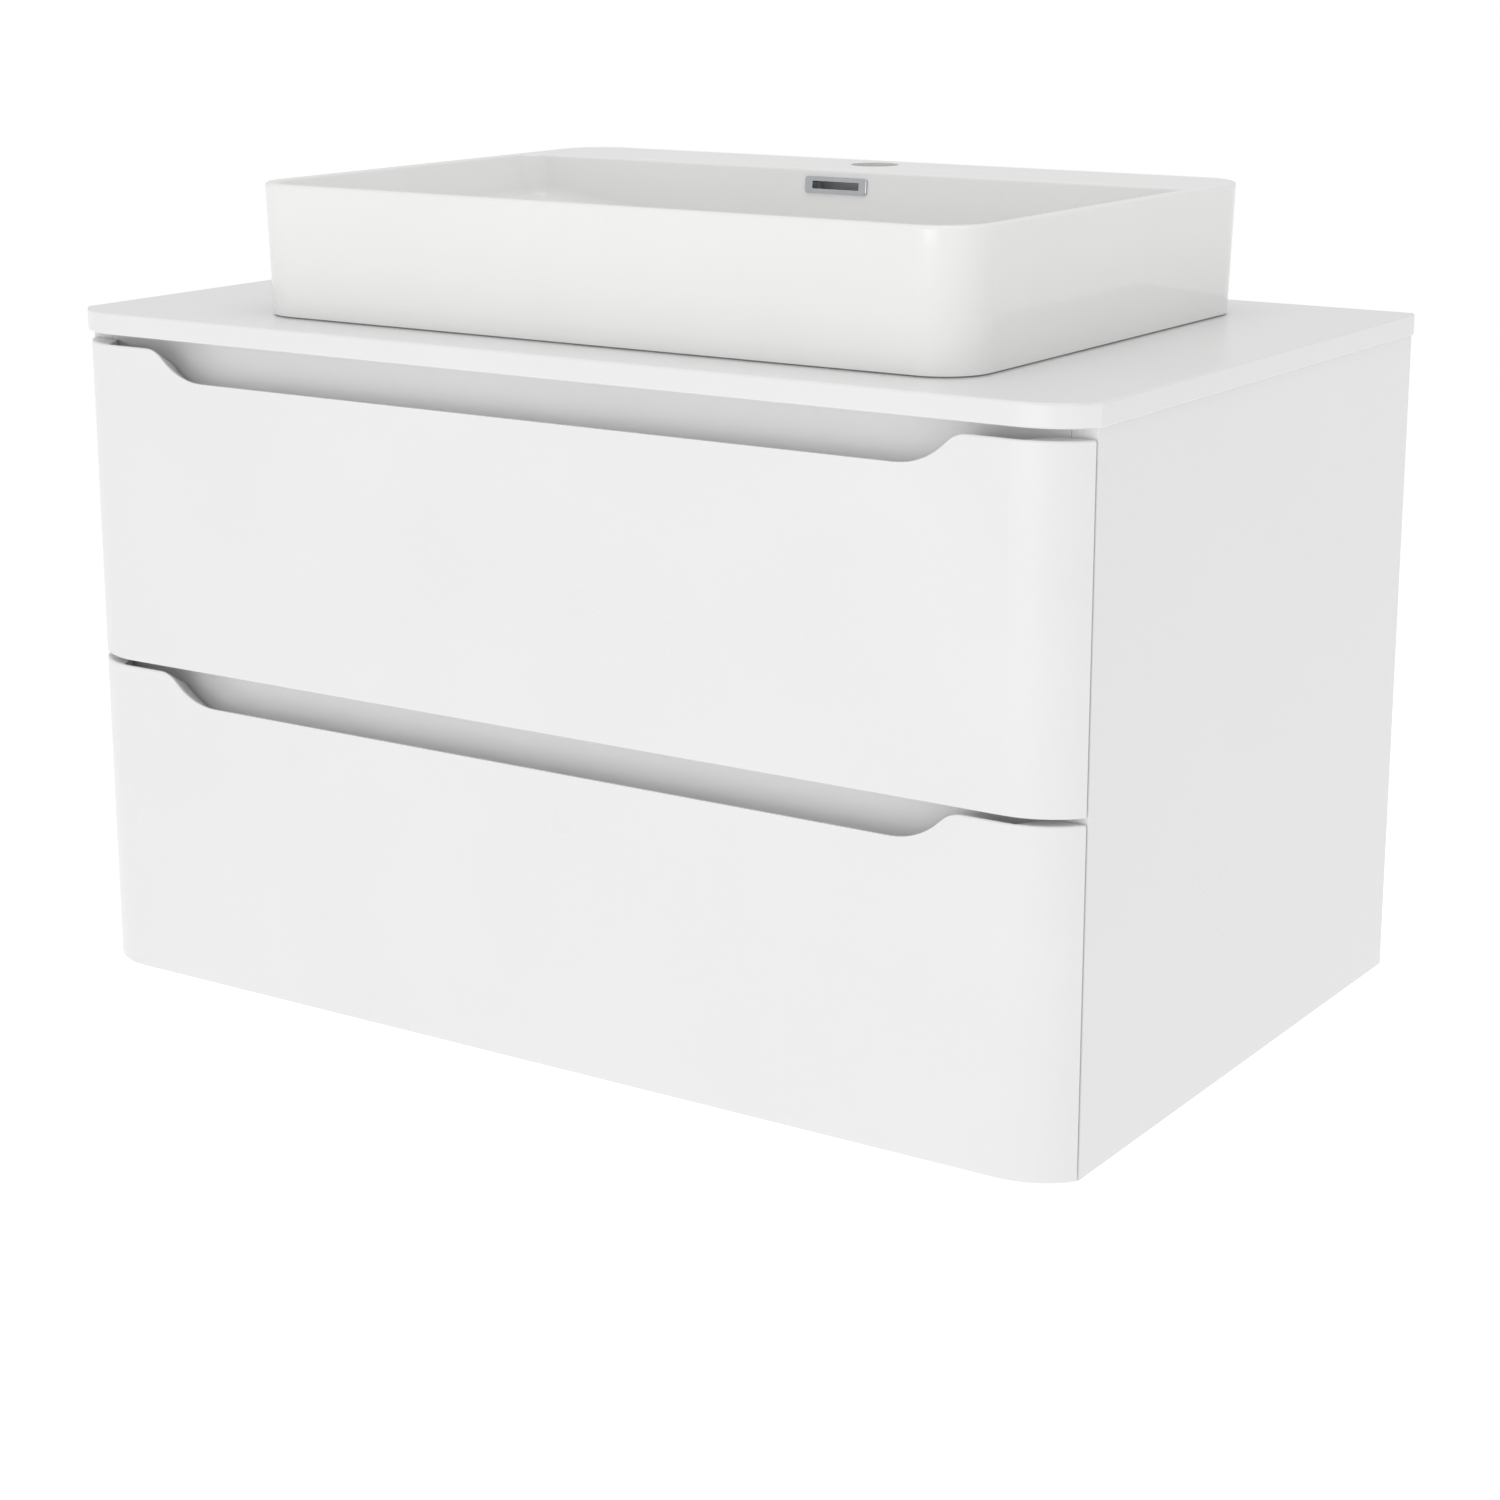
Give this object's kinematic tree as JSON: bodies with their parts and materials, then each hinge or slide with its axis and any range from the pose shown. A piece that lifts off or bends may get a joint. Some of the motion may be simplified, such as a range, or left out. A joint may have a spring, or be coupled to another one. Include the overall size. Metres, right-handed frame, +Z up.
{
  "type": "wall-hung washbasin vanity with vessel basin",
  "caption": "Wall-hung vanity with drawers that pull by finger notches, a thin worktop and a ceramic vessel basin with a tap ledge, overflow, waste and trap.",
  "frame": {"origin": "on the wall plane, midway between the side panels, at the cabinet's underside", "axes": "+Y into the wall, so the fronts face -Y; +X to the right seen from the front; +Z up"},
  "size_m": [0.8, 0.5, 0.568],
  "materials": {
    "white_lacquer": "white satin-gloss lacquer on fibreboard",
    "white_board": "white melamine-faced board",
    "beech": "plain beech",
    "glazed_ceramic": "glossy white glaze",
    "silicone": "translucent sealant",
    "rubber": "matt",
    "chrome": "polished",
    "zinc_steel": "bright zinc plate",
    "white_plastic": "smooth moulded polypropylene"
  },
  "bodies": {
    "cabinet": {"worktop": "white_lacquer", "side_panel_left": "white_lacquer", "side_panel_right": "white_lacquer", "top_front_rail": "white_lacquer", "middle_rail": "white_lacquer", "bottom_panel": "white_board", "top_back_rail": "white_board", "bottom_back_rail": "white_board", "cabinet_dowels": "beech", "worktop_brackets": "zinc_steel", "bracket_screws": "zinc_steel", "hanger_left": "zinc_steel", "wall_plate_left": "zinc_steel", "hanger_right": "zinc_steel", "wall_plate_right": "zinc_steel", "basin": "glazed_ceramic", "basin_seal_bead": "silicone", "overflow_ring": "chrome", "waste_body": "chrome", "waste_gasket": "rubber", "waste_locknut": "chrome", "trap_body": "white_plastic", "trap_cup": "white_plastic", "trap_inlet_nut": "white_plastic", "trap_outlet_nut": "white_plastic", "trap_tailpipe": "white_plastic", "trap_outlet_pipe": "white_plastic", "upper_runner_left_cabinet_member": "zinc_steel", "upper_runner_right_cabinet_member": "zinc_steel", "lower_runner_left_cabinet_member": "zinc_steel", "lower_runner_right_cabinet_member": "zinc_steel"},
    "upper_drawer": {"upper_drawer_front": "white_lacquer", "upper_drawer_inner_front": "white_board", "upper_drawer_side_left": "white_board", "upper_drawer_side_right": "white_board", "upper_drawer_bottom": "white_board", "upper_drawer_back_left": "white_board", "upper_drawer_back_right": "white_board", "upper_drawer_siphon_wall": "white_plastic", "upper_drawer_screws": "zinc_steel", "upper_runner_left_drawer_member": "zinc_steel", "upper_runner_right_drawer_member": "zinc_steel"},
    "lower_drawer": {"lower_drawer_front": "white_lacquer", "lower_drawer_inner_front": "white_board", "lower_drawer_side_left": "white_board", "lower_drawer_side_right": "white_board", "lower_drawer_bottom": "white_board", "lower_drawer_back": "white_board", "lower_drawer_screws": "zinc_steel", "lower_runner_left_drawer_member": "zinc_steel", "lower_runner_right_drawer_member": "zinc_steel"},
    "upper_runner_middles": {"upper_runner_left_middle_member": "zinc_steel", "upper_runner_right_middle_member": "zinc_steel", "upper_runner_balls": "zinc_steel"},
    "lower_runner_middles": {"lower_runner_left_middle_member": "zinc_steel", "lower_runner_right_middle_member": "zinc_steel", "lower_runner_balls": "zinc_steel"},
    "plug": {"waste_plug": "chrome"}
  },
  "joints": [
    {"name": "upper_drawer_slide", "type": "slide", "parent": "cabinet", "child": "upper_drawer", "axis": [0, -1, 0], "range_m": [0, 0.4]},
    {"name": "upper_runner_slide", "type": "slide", "parent": "cabinet", "child": "upper_runner_middles", "axis": [0, -1, 0], "range_m": [0, 0.2]},
    {"name": "lower_drawer_slide", "type": "slide", "parent": "cabinet", "child": "lower_drawer", "axis": [0, -1, 0], "range_m": [0, 0.4]},
    {"name": "lower_runner_slide", "type": "slide", "parent": "cabinet", "child": "lower_runner_middles", "axis": [0, -1, 0], "range_m": [0, 0.2]},
    {"name": "plug_click", "type": "slide", "parent": "cabinet", "child": "plug", "axis": [0, 0, 1], "range_m": [0, 0.008]}
  ],
  "couplings": [
    {"joint": "upper_runner_slide", "follows": "upper_drawer_slide", "ratio": 0.5},
    {"joint": "lower_runner_slide", "follows": "lower_drawer_slide", "ratio": 0.5}
  ]
}
